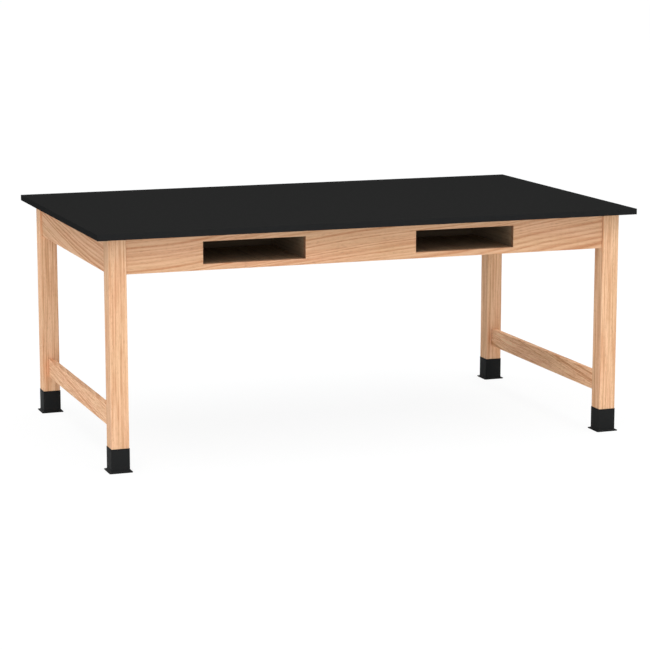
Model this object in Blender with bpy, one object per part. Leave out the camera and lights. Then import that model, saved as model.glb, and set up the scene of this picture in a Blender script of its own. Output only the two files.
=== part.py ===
"""Science lab table: a black worktop on an oak frame with two book compartments.

Frame: metres, +Z up, origin on the floor at the centre of the table, +X along
the length, and the side with the two compartment openings towards -Y.
"""
import math

import bmesh
import bpy
from mathutils import Matrix, Vector

# Clearance that touching pieces keep
GAP = 0.0003

# Whole table
LENGTH = 1.8288
DEPTH = 1.0668
HEIGHT = 0.75565

# Worktop
TOP_THICKNESS = 0.01905
TOP_OVERHANG = 0.0435
TOP_EASE = 0.0005

# Legs, with a flat at the top of the inner corner for the hanger bolt
LEG_SIDE = 0.05715
LEG_FLAT_DEPTH = 0.0085
LEG_FLAT_MARGIN = 0.006
WOOD_EASE = 0.0008

# Aprons
APRON_HEIGHT = 0.1143
APRON_THICKNESS = 0.01905
APRON_INSET = 0.00635

# Stretchers at the two ends, tenoned into the legs
STRETCHER_BOTTOM = 0.127
STRETCHER_HEIGHT = 0.063
STRETCHER_THICKNESS = 0.01905
TENON_THICKNESS = 0.0095
TENON_SHOULDER = 0.008
TENON_LENGTH = 0.028

# Cross rail, housed in the front and rear aprons
RAIL_HEIGHT = 0.0889
RAIL_THICKNESS = 0.01905
RAIL_HOUSING = 0.005

# Book compartments: openings from the left and the right of the front apron
OPENINGS = {"left": (-0.5664, -0.2284), "right": (0.1474, 0.4907)}
OPENING_SILL = 0.01905
OPENING_HEIGHT = 0.07145
COMPARTMENT_DEPTH = 0.3048
PANEL_THICKNESS = 0.0127
FLOOR_THICKNESS = 0.0095
FLOOR_GROOVE = 0.004
PANEL_LIP = 0.008
CLEAT_SIDE = 0.019
CLEAT_SETBACK = 0.025

# Leg boots: a thin square sleeve, a flared foot and a web that the leg stands on
BOOT_HEIGHT = 0.0762
BOOT_WALL = 0.0012
BOOT_CORNER = 0.0025
BOOT_RIM_EASE = 0.0004
FLARE_REACH = 0.0078
FLARE_HEIGHT = 0.0075
FLARE_LIP = 0.0028
FLARE_STEPS = 4
FLARE_CORNER = 0.005
WEB_TOP = 0.012
WEB_THICKNESS = 0.0035
WEB_HOLE_RADIUS = 0.0083

# Levelling glides: a threaded stem turning in a pad, screwed into a brass insert
STEM_RADIUS = 0.0047625
STEM_LENGTH = 0.062
STEM_FLANGE_RADIUS = 0.007
STEM_FLANGE_HEIGHT = 0.002
HEX_ACROSS_FLATS = 0.0127
HEX_HEIGHT = 0.004
RUNNING_CLEARANCE = 0.0004
PAD_LIFT = 0.0005
PAD_RADIUS = 0.019
PAD_HEIGHT = 0.0065
PAD_EDGE = 0.0012
PAD_FLOOR = 0.0018
PAD_BOSS_WALL = 0.0024
INSERT_LENGTH = 0.025
INSERT_WALL = 0.002
STEM_BORE_CLEARANCE = 0.001

# Corner brackets of bent steel plate
BRACKET_THICKNESS = 0.0025
BRACKET_HEIGHT = 0.076
BRACKET_CLEARANCE = 0.004
BRACKET_WING = 0.028
BRACKET_SCREW_SPACING = 0.044

# Hanger bolts and their flange nuts
BOLT_RADIUS = 0.004
BOLT_POINT_RADIUS = 0.002
BOLT_IN_LEG = 0.034
BOLT_PAST_BRACKET = 0.015
NUT_ACROSS_FLATS = 0.013
NUT_FLANGE_RADIUS = 0.009
NUT_FLANGE_THICKNESS = 0.0016
NUT_HEIGHT = 0.008

# Angle clips that hold the worktop to the aprons
CLIP_LEAF = 0.026
CLIP_WIDTH = 0.03
CLIP_THICKNESS = 0.002
END_CLIP_PLACE = 0.22

# Holes for wood screws, through the steel or the cleat and on into what it is screwed to
SCREW_HOLE_RADIUS = 0.0024
SCREW_GRIP = 0.0125
BRACKET_SCREW_PLACE = 0.6
CLEAT_SCREW_INSET = 0.04

# Facets: steps in a quarter of a round ring, sides of a fastener, and degrees shaded smooth
CORNER_STEPS = 6
BOLT_SIDES = 12
SCREW_SIDES = 8
SMOOTH_ANGLE = 35

# Heights and places that follow from the driving dimensions
TOP_UNDERSIDE = HEIGHT - TOP_THICKNESS
FRAME_TOP = TOP_UNDERSIDE - GAP
APRON_BOTTOM = TOP_UNDERSIDE - APRON_HEIGHT
LEG_OUTER_X = LENGTH / 2 - TOP_OVERHANG
LEG_OUTER_Y = DEPTH / 2 - TOP_OVERHANG
LEG_INNER_X = LEG_OUTER_X - LEG_SIDE
LEG_INNER_Y = LEG_OUTER_Y - LEG_SIDE
LEG_CENTRE_X = LEG_OUTER_X - LEG_SIDE / 2
LEG_CENTRE_Y = LEG_OUTER_Y - LEG_SIDE / 2
LEG_FOOT = WEB_TOP + GAP
LEG_FLAT = LEG_SIDE - LEG_FLAT_DEPTH
APRON_OUTER_X = LEG_OUTER_X - APRON_INSET
APRON_OUTER_Y = LEG_OUTER_Y - APRON_INSET
APRON_INNER_X = APRON_OUTER_X - APRON_THICKNESS
APRON_INNER_Y = APRON_OUTER_Y - APRON_THICKNESS
OPENING_BOTTOM = APRON_BOTTOM + OPENING_SILL
OPENING_TOP = OPENING_BOTTOM + OPENING_HEIGHT
COMPARTMENT_FRONT = -APRON_INNER_Y + GAP
COMPARTMENT_BACK = COMPARTMENT_FRONT + COMPARTMENT_DEPTH
FLOOR_UNDERSIDE = OPENING_BOTTOM - FLOOR_THICKNESS
PANEL_BOTTOM = FLOOR_UNDERSIDE - PANEL_LIP
BETWEEN_COMPARTMENTS = (OPENINGS["left"][1] + PANEL_THICKNESS, OPENINGS["right"][0] - PANEL_THICKNESS)
RAIL_CENTRE = sum(BETWEEN_COMPARTMENTS) / 2
BRACKET_MIDDLE = APRON_BOTTOM + APRON_HEIGHT / 2
ROOT_TWO = math.sqrt(2)

CORNERS = {
    "front_left": (-1, -1),
    "front_right": (1, -1),
    "rear_right": (1, 1),
    "rear_left": (-1, 1),
}


def make_material(name, color, roughness, metallic=0.0):
    """Make a Principled material from a colour, a roughness and a metallic value."""
    material = bpy.data.materials.new(name)
    material.use_nodes = True
    shader = material.node_tree.nodes["Principled BSDF"]
    shader.inputs["Base Color"].default_value = (*color, 1.0)
    shader.inputs["Roughness"].default_value = roughness
    shader.inputs["Metallic"].default_value = metallic
    material.diffuse_color = (*color, 1.0)
    return material


def add_object(name, mesh, material, location=(0, 0, 0), turn=0.0, parent=None):
    """Place a mesh in the scene as one named sub-part."""
    mesh.materials.clear()
    mesh.materials.append(material)
    piece = bpy.data.objects.new(name, mesh)
    bpy.context.scene.collection.objects.link(piece)
    piece.location = location
    piece.rotation_euler.z = turn
    if parent:
        piece.parent = parent
    return piece


def add_empty(name, location, parent=None):
    """Place an empty that carries a group of sub-parts."""
    empty = bpy.data.objects.new(name, None)
    empty.location = location
    bpy.context.scene.collection.objects.link(empty)
    if parent:
        empty.parent = parent
    return empty


def mesh_from_bmesh(name, bm, smooth=False):
    """Turn a bmesh into a mesh with its faces pointing out."""
    bmesh.ops.recalc_face_normals(bm, faces=bm.faces)
    mesh = bpy.data.meshes.new(name)
    bm.to_mesh(mesh)
    bm.free()
    if smooth:
        mesh.shade_smooth()
        mesh.set_sharp_from_angle(angle=math.radians(SMOOTH_ANGLE))
    return mesh


def box_mesh(name, size):
    """Mesh of a box centred on its own origin."""
    bm = bmesh.new()
    bmesh.ops.create_cube(bm, size=1.0)
    bmesh.ops.scale(bm, vec=size, verts=bm.verts)
    return mesh_from_bmesh(name, bm)


def add_box(name, low, high, material, ease=WOOD_EASE):
    """Box between two corners, its edges eased by a small bevel."""
    low, high = Vector(low), Vector(high)
    piece = add_object(name, box_mesh(name, high - low), material, (low + high) / 2)
    if ease:
        bevel = piece.modifiers.new("ease", "BEVEL")
        bevel.width = ease
        bevel.segments = 1
        bevel.limit_method = "ANGLE"
    return piece


def loft_mesh(name, rings, ends="caps"):
    """Skin a row of equal rings: closed with caps, or joined end to end as a loop."""
    bm = bmesh.new()
    rows = [[bm.verts.new(point) for point in ring] for ring in rings]
    pairs = list(zip(rows, rows[1:]))
    if ends == "loop":
        pairs.append((rows[-1], rows[0]))
    for lower, upper in pairs:
        for i, corner in enumerate(lower):
            j = (i + 1) % len(lower)
            bm.faces.new((corner, lower[j], upper[j], upper[i]))
    if ends == "caps":
        bm.faces.new(rows[0])
        bm.faces.new(rows[-1])
    return mesh_from_bmesh(name, bm, smooth=True)


def extruded_mesh(name, outline, height):
    """Mesh of a flat outline in XY, extruded evenly above and below Z = 0."""
    bm = bmesh.new()
    corners = [bm.verts.new((x, y, -height / 2)) for x, y in outline]
    face = bm.faces.new(corners)
    extruded = bmesh.ops.extrude_face_region(bm, geom=[face])["geom"]
    lifted = [item for item in extruded if isinstance(item, bmesh.types.BMVert)]
    bmesh.ops.translate(bm, vec=(0, 0, height), verts=lifted)
    return mesh_from_bmesh(name, bm)


def copies_mesh(name, source, places):
    """Mesh with one separate copy of a source mesh at each placing matrix."""
    bm = bmesh.new()
    for place in places:
        copy = source.copy()
        copy.transform(place)
        bm.from_mesh(copy)
        bpy.data.meshes.remove(copy)
    return mesh_from_bmesh(name, bm)


def placed_mesh(source, place):
    """Copy of a mesh moved by a placing matrix."""
    mesh = source.copy()
    mesh.transform(place)
    return mesh


def rounded_ring(half_side, corner, z):
    """Ring of a square with round corners, seen along Z."""
    half_step = math.pi / (4 * CORNER_STEPS)
    centre = half_side - corner * math.cos(half_step)
    points = []
    for quarter in range(4):
        turn = Matrix.Rotation(quarter * math.pi / 2, 3, "Z")
        for step in range(CORNER_STEPS):
            angle = half_step * (2 * step + 1)
            point = Vector((centre + corner * math.cos(angle), centre + corner * math.sin(angle), z))
            points.append(turn @ point)
    return points


def round_ring(radius, z):
    """Circle with as many points as a rounded square."""
    return rounded_ring(radius * math.cos(math.pi / (4 * CORNER_STEPS)), radius, z)


def polygon_ring(radius, z, sides):
    """Regular polygon with the given corner radius."""
    angles = [2 * math.pi * i / sides for i in range(sides)]
    return [Vector((radius * math.cos(a), radius * math.sin(a), z)) for a in angles]


def hexagon_ring(across_flats, z, sides, first_corner=0.0):
    """Hexagon drawn with a multiple of six points."""
    points = []
    for i in range(sides):
        from_corner = 2 * math.pi * i / sides
        radius = across_flats / 2 / math.cos(from_corner % (math.pi / 3) - math.pi / 6)
        angle = from_corner + first_corner
        points.append(Vector((radius * math.cos(angle), radius * math.sin(angle), z)))
    return points


def add_cutter(name, mesh, location=(0, 0, 0)):
    """Place a mesh as a guide that only cuts other pieces."""
    cutter = bpy.data.objects.new(name, mesh)
    cutter.location = location
    cutter.hide_render = True
    cutter.display_type = "WIRE"
    bpy.context.scene.collection.objects.link(cutter)
    return cutter


def add_box_cutter(name, low, high, grow=0.0):
    """Box-shaped cutter between two corners, grown by a clearance on every side."""
    margin = Vector((grow, grow, grow))
    low, high = Vector(low) - margin, Vector(high) + margin
    return add_cutter(name, box_mesh(name, high - low), (low + high) / 2)


def combine(piece, cutter, operation="DIFFERENCE"):
    """Cut a guide's shape out of a piece, or join it on, with an exact Boolean."""
    boolean = piece.modifiers.new(cutter.name, "BOOLEAN")
    boolean.operation = operation
    boolean.solver = "EXACT"
    boolean.object = cutter


def place_along(direction, position):
    """Matrix that lays local +Z along a direction at a position."""
    turn = Vector(direction).to_track_quat("Z", "Y").to_matrix().to_4x4()
    return Matrix.Translation(position) @ turn


def corner_place(signs, inward, height):
    """Matrix at a distance in from a leg's outer corner, along its diagonal."""
    sx, sy = signs
    position = (sx * (LEG_OUTER_X - inward), sy * (LEG_OUTER_Y - inward), height)
    return place_along((-sx, -sy, 0), position)


def corner_turn(signs):
    """Turn about Z that brings a front left piece to the corner with these signs."""
    return math.atan2(-signs[1], -signs[0]) - math.pi / 4


def make_worktop(material):
    """Slab of the worktop."""
    low = (-LENGTH / 2, -DEPTH / 2, TOP_UNDERSIDE)
    high = (LENGTH / 2, DEPTH / 2, HEIGHT)
    return add_box("worktop", low, high, material, TOP_EASE)


def make_legs(material):
    """Four square legs, each at its own corner."""
    legs = {}
    for corner, (sx, sy) in CORNERS.items():
        centre = Vector((sx * LEG_CENTRE_X, sy * LEG_CENTRE_Y, 0))
        half = Vector((LEG_SIDE / 2, LEG_SIDE / 2, 0))
        low = centre - half + Vector((0, 0, LEG_FOOT))
        high = centre + half + Vector((0, 0, FRAME_TOP))
        legs[corner] = add_box(f"leg_{corner}", low, high, material)
    return legs


def make_aprons(material):
    """Front, rear, left and right aprons, butted between the legs."""
    end_x, end_y = LEG_INNER_X - GAP, LEG_INNER_Y - GAP
    aprons = {}
    for name, side in (("front", -1), ("rear", 1)):
        faces = sorted((side * APRON_INNER_Y, side * APRON_OUTER_Y))
        low = (-end_x, faces[0], APRON_BOTTOM)
        high = (end_x, faces[1], FRAME_TOP)
        aprons[name] = add_box(f"{name}_apron", low, high, material)
    for name, side in (("left", -1), ("right", 1)):
        faces = sorted((side * APRON_INNER_X, side * APRON_OUTER_X))
        low = (faces[0], -end_y, APRON_BOTTOM)
        high = (faces[1], end_y, FRAME_TOP)
        aprons[name] = add_box(f"{name}_apron", low, high, material)
    return aprons


def cut_openings(front_apron):
    """Cut the two book openings through the front apron."""
    for name, (start, end) in OPENINGS.items():
        low = (start, -APRON_OUTER_Y - APRON_THICKNESS, OPENING_BOTTOM)
        high = (end, -APRON_INNER_Y + APRON_THICKNESS, OPENING_TOP)
        combine(front_apron, add_box_cutter(f"cut_{name}_opening", low, high))


def make_stretchers(material, legs):
    """End stretchers tenoned into the legs, with the mortises for them."""
    shoulder = LEG_INNER_Y - GAP
    tip = LEG_INNER_Y + TENON_LENGTH
    top = STRETCHER_BOTTOM + STRETCHER_HEIGHT
    half_body, half_tenon = STRETCHER_THICKNESS / 2, TENON_THICKNESS / 2
    for name, side in (("left", -1), ("right", 1)):
        x = side * LEG_CENTRE_X
        low = (x - half_body, -shoulder, STRETCHER_BOTTOM)
        high = (x + half_body, shoulder, top)
        stretcher = add_box(f"{name}_stretcher", low, high, material)
        low = (x - half_tenon, -tip, STRETCHER_BOTTOM + TENON_SHOULDER)
        high = (x + half_tenon, tip, top - TENON_SHOULDER)
        combine(stretcher, add_box_cutter(f"add_{name}_tenons", low, high), "UNION")
        mortises = add_box_cutter(f"cut_{name}_mortises", low, high, GAP)
        for corner in ("front", "rear"):
            combine(legs[f"{corner}_{name}"], mortises)


def make_cross_rail(material, aprons):
    """Rail between the long aprons, its ends housed in them."""
    end = APRON_INNER_Y + RAIL_HOUSING
    half = RAIL_THICKNESS / 2
    bottom = FRAME_TOP - RAIL_HEIGHT
    low = (RAIL_CENTRE - half, -end, bottom)
    high = (RAIL_CENTRE + half, end, FRAME_TOP)
    add_box("cross_rail", low, high, material)
    open_top = (high[0], high[1], FRAME_TOP + GAP)
    housing = add_box_cutter("cut_rail_housings", low, open_top, GAP)
    for name in ("front", "rear"):
        combine(aprons[name], housing)


def make_compartment(name, start, end, material):
    """Book compartment behind one opening: floor, back, two sides and two cleats."""
    front, back = COMPARTMENT_FRONT, COMPARTMENT_BACK
    rear = back + PANEL_THICKNESS
    reach = FLOOR_GROOVE - GAP
    floor_low = (start - reach, front, FLOOR_UNDERSIDE)
    floor_high = (end + reach, back + reach, OPENING_BOTTOM)
    add_box(f"{name}_compartment_floor", floor_low, floor_high, material, 0)
    groove = add_box_cutter(f"cut_{name}_floor_groove", floor_low, floor_high, GAP)
    walls = {
        "left_side": ((start - PANEL_THICKNESS, front), (start, rear)),
        "right_side": ((end, front), (end + PANEL_THICKNESS, rear)),
        "back": ((start + GAP, back), (end - GAP, rear)),
    }
    for wall, (low, high) in walls.items():
        panel = add_box(
            f"{name}_compartment_{wall}", (*low, PANEL_BOTTOM), (*high, FRAME_TOP), material, 0
        )
        combine(panel, groove)
    cleats, holes = [], []
    half_length = COMPARTMENT_DEPTH / 2 - CLEAT_SETBACK
    middle_y = (front + back) / 2
    bottom = FRAME_TOP - CLEAT_SIDE
    faces = {"left": start - PANEL_THICKNESS - GAP - CLEAT_SIDE, "right": end + PANEL_THICKNESS + GAP}
    for side, x in faces.items():
        low = (x, middle_y - half_length, bottom)
        high = (x + CLEAT_SIDE, middle_y + half_length, FRAME_TOP)
        cleats.append(add_box(f"{name}_compartment_{side}_cleat", low, high, material))
        for along in (-1, 1):
            y = middle_y + along * (half_length - CLEAT_SCREW_INSET)
            holes.append(place_along((0, 0, 1), (x + CLEAT_SIDE / 2, y, bottom)))
    return cleats, holes


def boot_mesh():
    """Leg boot: outer skin with its flare, rim, inner skin, web with its hole, and recess."""
    inner = LEG_SIDE / 2 + GAP
    outer = inner + BOOT_WALL
    rings = [rounded_ring(outer + FLARE_REACH, FLARE_CORNER, 0)]
    sweep = FLARE_HEIGHT - FLARE_LIP
    for step in range(FLARE_STEPS + 1):
        angle = math.pi / 2 * step / FLARE_STEPS
        reach = FLARE_REACH * (1 - math.sin(angle))
        corner = BOOT_CORNER + (FLARE_CORNER - BOOT_CORNER) * reach / FLARE_REACH
        rings.append(rounded_ring(outer + reach, corner, FLARE_LIP + sweep * (1 - math.cos(angle))))
    inner_corner = GAP
    rings += [
        rounded_ring(outer, BOOT_CORNER, BOOT_HEIGHT - BOOT_RIM_EASE),
        rounded_ring(outer - BOOT_RIM_EASE, BOOT_CORNER, BOOT_HEIGHT),
        rounded_ring(inner, inner_corner, BOOT_HEIGHT),
        rounded_ring(inner, inner_corner, WEB_TOP),
        round_ring(WEB_HOLE_RADIUS, WEB_TOP),
        round_ring(WEB_HOLE_RADIUS, WEB_TOP - WEB_THICKNESS),
        rounded_ring(inner, BOOT_CORNER, WEB_TOP - WEB_THICKNESS),
        rounded_ring(inner, BOOT_CORNER, 0),
    ]
    return loft_mesh("boot", rings, ends="loop")


def stem_mesh():
    """Glide stem: flange held in the pad, wrench hexagon and threaded shank, up from its foot."""
    hexagon_bottom = PAD_HEIGHT - PAD_FLOOR
    sides = 4 * CORNER_STEPS
    first = math.pi / sides
    rings = [
        round_ring(STEM_FLANGE_RADIUS, 0),
        round_ring(STEM_FLANGE_RADIUS, STEM_FLANGE_HEIGHT),
        round_ring(STEM_RADIUS, STEM_FLANGE_HEIGHT),
        round_ring(STEM_RADIUS, hexagon_bottom),
        hexagon_ring(HEX_ACROSS_FLATS, hexagon_bottom, sides, first),
        hexagon_ring(HEX_ACROSS_FLATS, hexagon_bottom + HEX_HEIGHT, sides, first),
        round_ring(STEM_RADIUS, hexagon_bottom + HEX_HEIGHT),
        round_ring(STEM_RADIUS, STEM_LENGTH),
    ]
    return loft_mesh("glide_stem", rings)


def pad_mesh():
    """Glide pad with the socket that traps the stem's flange, up from its underside."""
    socket_top = PAD_FLOOR + STEM_FLANGE_HEIGHT + 2 * RUNNING_CLEARANCE
    neck = STEM_RADIUS + RUNNING_CLEARANCE
    boss = STEM_FLANGE_RADIUS + PAD_BOSS_WALL
    socket = STEM_FLANGE_RADIUS + RUNNING_CLEARANCE
    rings = [
        round_ring(PAD_RADIUS - PAD_EDGE, 0),
        round_ring(PAD_RADIUS, PAD_EDGE),
        round_ring(PAD_RADIUS, PAD_HEIGHT / 2),
        round_ring(boss, PAD_HEIGHT - RUNNING_CLEARANCE),
        round_ring(neck, PAD_HEIGHT - RUNNING_CLEARANCE),
        round_ring(neck, socket_top),
        round_ring(socket, socket_top),
        round_ring(socket, PAD_FLOOR),
    ]
    return loft_mesh("glide_pad", rings)


def make_feet(materials, legs, table):
    """Boots, brass inserts and levelling glides under the four legs."""
    boot, stem, pad = boot_mesh(), stem_mesh(), pad_mesh()
    insert_outer = STEM_RADIUS + RUNNING_CLEARANCE + INSERT_WALL
    insert = loft_mesh(
        "insert",
        [
            round_ring(insert_outer, 0),
            round_ring(insert_outer, INSERT_LENGTH),
            round_ring(insert_outer - INSERT_WALL, INSERT_LENGTH),
            round_ring(insert_outer - INSERT_WALL, 0),
        ],
        ends="loop",
    )
    stem_foot = PAD_LIFT + PAD_FLOOR + RUNNING_CLEARANCE
    stem_top = stem_foot + STEM_LENGTH
    bore = loft_mesh(
        "foot_bore",
        [
            round_ring(insert_outer + GAP, LEG_FOOT - GAP),
            round_ring(insert_outer + GAP, LEG_FOOT + INSERT_LENGTH + GAP),
            round_ring(STEM_RADIUS + STEM_BORE_CLEARANCE, LEG_FOOT + INSERT_LENGTH + GAP),
            round_ring(STEM_RADIUS + STEM_BORE_CLEARANCE, stem_top + STEM_BORE_CLEARANCE),
        ],
    )
    centres = {c: (sx * LEG_CENTRE_X, sy * LEG_CENTRE_Y, 0) for c, (sx, sy) in CORNERS.items()}
    bore_places = [Matrix.Translation(centre) for centre in centres.values()]
    bores = add_cutter("cut_foot_bores", copies_mesh("foot_bores", bore, bore_places))
    for corner, centre in centres.items():
        add_object(f"boot_{corner}", boot, materials["boot_rubber"], centre)
        seat = (*centre[:2], LEG_FOOT)
        add_object(f"glide_insert_{corner}", insert, materials["brass"], seat)
        glide = add_empty(f"glide_{corner}", (*centre[:2], PAD_LIFT), table)
        add_object(f"glide_pad_{corner}", pad, materials["pad_nylon"], parent=glide)
        foot = (0, 0, stem_foot - PAD_LIFT)
        add_object(f"glide_stem_{corner}", stem, materials["zinc_steel"], foot, parent=glide)
        combine(legs[corner], bores)


def bracket_mesh():
    """Bracket for the front left corner from its leg's outer corner, with its bend and inner face."""
    seat = APRON_INSET + APRON_THICKNESS + GAP
    diagonal = 2 * LEG_FLAT + BRACKET_CLEARANCE * ROOT_TWO
    bend = diagonal - seat
    end = bend + BRACKET_WING
    step = BRACKET_THICKNESS * (ROOT_TWO - 1)
    back = seat + BRACKET_THICKNESS
    outline = [
        (end, seat),
        (bend, seat),
        (seat, bend),
        (seat, end),
        (back, end),
        (back, bend + step),
        (bend + step, back),
        (end, back),
    ]
    return extruded_mesh("corner_bracket", outline, BRACKET_HEIGHT), bend, back


def hanger_bolt_mesh(length):
    """Hanger bolt with its point at the origin, along +Z."""
    rings = [
        polygon_ring(BOLT_POINT_RADIUS, 0, BOLT_SIDES),
        polygon_ring(BOLT_RADIUS, BOLT_RADIUS, BOLT_SIDES),
        polygon_ring(BOLT_RADIUS, length, BOLT_SIDES),
    ]
    return loft_mesh("hanger_bolt", rings)


def bolt_hole_mesh(length):
    """Hole that a hanger bolt passes through with the usual gap."""
    rings = [polygon_ring(BOLT_RADIUS + GAP, z, BOLT_SIDES) for z in (-GAP, length)]
    return loft_mesh("bolt_hole", rings)


def nut_mesh():
    """Flange nut standing on its flange."""
    rings = [
        polygon_ring(NUT_FLANGE_RADIUS, 0, BOLT_SIDES),
        polygon_ring(NUT_FLANGE_RADIUS, NUT_FLANGE_THICKNESS, BOLT_SIDES),
        hexagon_ring(NUT_ACROSS_FLATS, NUT_FLANGE_THICKNESS, BOLT_SIDES),
        hexagon_ring(NUT_ACROSS_FLATS, NUT_HEIGHT, BOLT_SIDES),
        polygon_ring(BOLT_RADIUS + GAP, NUT_HEIGHT, BOLT_SIDES),
        polygon_ring(BOLT_RADIUS + GAP, 0, BOLT_SIDES),
    ]
    return loft_mesh("bracket_nut", rings, ends="loop")


def cut_leg_flats(legs):
    """Cut the flat across the inner corner of each leg, behind its bracket."""
    low = BRACKET_MIDDLE - BRACKET_HEIGHT / 2 - LEG_FLAT_MARGIN
    high = FRAME_TOP + LEG_FLAT_MARGIN
    block = box_mesh("leg_flat", (LEG_SIDE, high - low, LEG_SIDE))
    lift = Matrix.Translation((0, 0, LEG_SIDE / 2))
    places = [corner_place(signs, LEG_FLAT, (low + high) / 2) @ lift for signs in CORNERS.values()]
    cutter = add_cutter("cut_leg_flats", copies_mesh("leg_flats", block, places))
    for leg in legs.values():
        combine(leg, cutter)


def make_brackets(steel, legs):
    """Corner brackets with their hanger bolts and nuts; gives the places of the screw holes."""
    mesh, bend, face = bracket_mesh()
    plate_far = LEG_FLAT + (BRACKET_CLEARANCE + BRACKET_THICKNESS) / ROOT_TWO
    start = LEG_FLAT - BOLT_IN_LEG / ROOT_TWO
    length = (plate_far - start) * ROOT_TWO + BOLT_PAST_BRACKET
    bolts = {corner: corner_place(signs, start, BRACKET_MIDDLE) for corner, signs in CORNERS.items()}
    bolt_holes = copies_mesh("bolt_holes", bolt_hole_mesh(length), bolts.values())
    hole_cutter = add_cutter("cut_bolt_holes", bolt_holes)
    bolt, nut = hanger_bolt_mesh(length), nut_mesh()
    wing = bend + BRACKET_WING * BRACKET_SCREW_PLACE
    brackets, holes = [], []
    for corner, (sx, sy) in CORNERS.items():
        add_object(f"hanger_bolt_{corner}", placed_mesh(bolt, bolts[corner]), steel)
        seat = corner_place((sx, sy), plate_far + GAP / ROOT_TWO, BRACKET_MIDDLE)
        add_object(f"bracket_nut_{corner}", placed_mesh(nut, seat), steel)
        outer = (sx * LEG_OUTER_X, sy * LEG_OUTER_Y, BRACKET_MIDDLE)
        bracket = add_object(f"corner_bracket_{corner}", mesh.copy(), steel, outer, corner_turn((sx, sy)))
        combine(bracket, hole_cutter)
        combine(legs[corner], hole_cutter)
        brackets.append(bracket)
        for up in (-1, 1):
            z = BRACKET_MIDDLE + up * BRACKET_SCREW_SPACING / 2
            holes.append(place_along((0, sy, 0), (sx * (LEG_OUTER_X - wing), sy * (LEG_OUTER_Y - face), z)))
            holes.append(place_along((sx, 0, 0), (sx * (LEG_OUTER_X - face), sy * (LEG_OUTER_Y - wing), z)))
    return brackets, holes


def clip_mesh():
    """Angle clip: a leaf against the apron's face at Y = 0 and a leaf under the worktop at Z = 0."""
    outline = [
        (0, 0),
        (0, -CLIP_LEAF),
        (CLIP_THICKNESS, -CLIP_LEAF),
        (CLIP_THICKNESS, -CLIP_THICKNESS),
        (CLIP_LEAF, -CLIP_THICKNESS),
        (CLIP_LEAF, 0),
    ]
    mesh = extruded_mesh("angle_clip", outline, CLIP_WIDTH)
    mesh.transform(Matrix(((0, 0, 1), (1, 0, 0), (0, 1, 0))).to_4x4())
    return mesh


def clip_seats():
    """Name, place on an apron's inner face and inward direction of each angle clip."""
    bays = {
        "left": (-LEG_INNER_X + OPENINGS["left"][0] - PANEL_THICKNESS) / 2,
        "right": (LEG_INNER_X + OPENINGS["right"][1] + PANEL_THICKNESS) / 2,
    }
    seats = []
    for bay, x in bays.items():
        seats.append((f"front_{bay}", (x, -APRON_INNER_Y + GAP), (0, 1)))
        seats.append((f"rear_{bay}", (x, APRON_INNER_Y - GAP), (0, -1)))
    for half, y in (("front", -END_CLIP_PLACE), ("rear", END_CLIP_PLACE)):
        seats.append((f"left_{half}", (-APRON_INNER_X + GAP, y), (1, 0)))
        seats.append((f"right_{half}", (APRON_INNER_X - GAP, y), (-1, 0)))
    return seats


def make_clips(steel):
    """Angle clips between the aprons and the worktop; gives the places of the screw holes."""
    mesh = clip_mesh()
    middle = CLIP_THICKNESS + (CLIP_LEAF - CLIP_THICKNESS) / 2
    clips, holes = [], []
    for name, (x, y), (dx, dy) in clip_seats():
        turn = math.atan2(dy, dx) - math.pi / 2
        clips.append(add_object(f"top_clip_{name}", mesh.copy(), steel, (x, y, FRAME_TOP), turn))
        at_apron = (x + dx * CLIP_THICKNESS, y + dy * CLIP_THICKNESS, FRAME_TOP - middle)
        at_worktop = (x + dx * middle, y + dy * middle, FRAME_TOP - CLIP_THICKNESS)
        holes.append(place_along((-dx, -dy, 0), at_apron))
        holes.append(place_along((0, 0, 1), at_worktop))
    return clips, holes


def cut_screw_holes(name, places, plate, pieces):
    """Holes through a plate of a given thickness and on into what it is screwed to."""
    ends = (-GAP, plate + SCREW_GRIP)
    hole = loft_mesh("screw_hole", [polygon_ring(SCREW_HOLE_RADIUS, z, SCREW_SIDES) for z in ends])
    cutter = add_cutter(f"cut_{name}", copies_mesh(name, hole, places))
    for piece in pieces:
        combine(piece, cutter)


def main():
    """Model the table."""
    for old in list(bpy.data.objects):
        bpy.data.objects.remove(old, do_unlink=True)

    materials = {
        "worktop_black": make_material("worktop_black", (0.022, 0.022, 0.023), 0.55),
        "oak": make_material("oak", (0.78, 0.52, 0.30), 0.42),
        "compartment_ply": make_material("compartment_ply", (0.45, 0.29, 0.16), 0.6),
        "boot_rubber": make_material("boot_rubber", (0.018, 0.018, 0.019), 0.5),
        "pad_nylon": make_material("pad_nylon", (0.05, 0.05, 0.05), 0.45),
        "zinc_steel": make_material("zinc_steel", (0.62, 0.63, 0.65), 0.35, 1.0),
        "brass": make_material("brass", (0.75, 0.58, 0.25), 0.35, 1.0),
    }
    oak, steel = materials["oak"], materials["zinc_steel"]

    table = add_empty("table", (0, 0, 0))
    worktop = make_worktop(materials["worktop_black"])
    legs = make_legs(oak)
    aprons = make_aprons(oak)
    cut_openings(aprons["front"])
    make_stretchers(oak, legs)
    make_cross_rail(oak, aprons)

    cleats, cleat_holes = [], []
    for name, (start, end) in OPENINGS.items():
        strips, holes = make_compartment(name, start, end, materials["compartment_ply"])
        cleats += strips
        cleat_holes += holes

    make_feet(materials, legs, table)
    cut_leg_flats(legs)
    brackets, bracket_holes = make_brackets(steel, legs)
    clips, clip_holes = make_clips(steel)
    cut_screw_holes("bracket_holes", bracket_holes, BRACKET_THICKNESS, [*brackets, *aprons.values()])
    cut_screw_holes("clip_holes", clip_holes, CLIP_THICKNESS, [*clips, worktop, *aprons.values()])
    cut_screw_holes("cleat_holes", cleat_holes, CLEAT_SIDE, [*cleats, worktop])


main()
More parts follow.
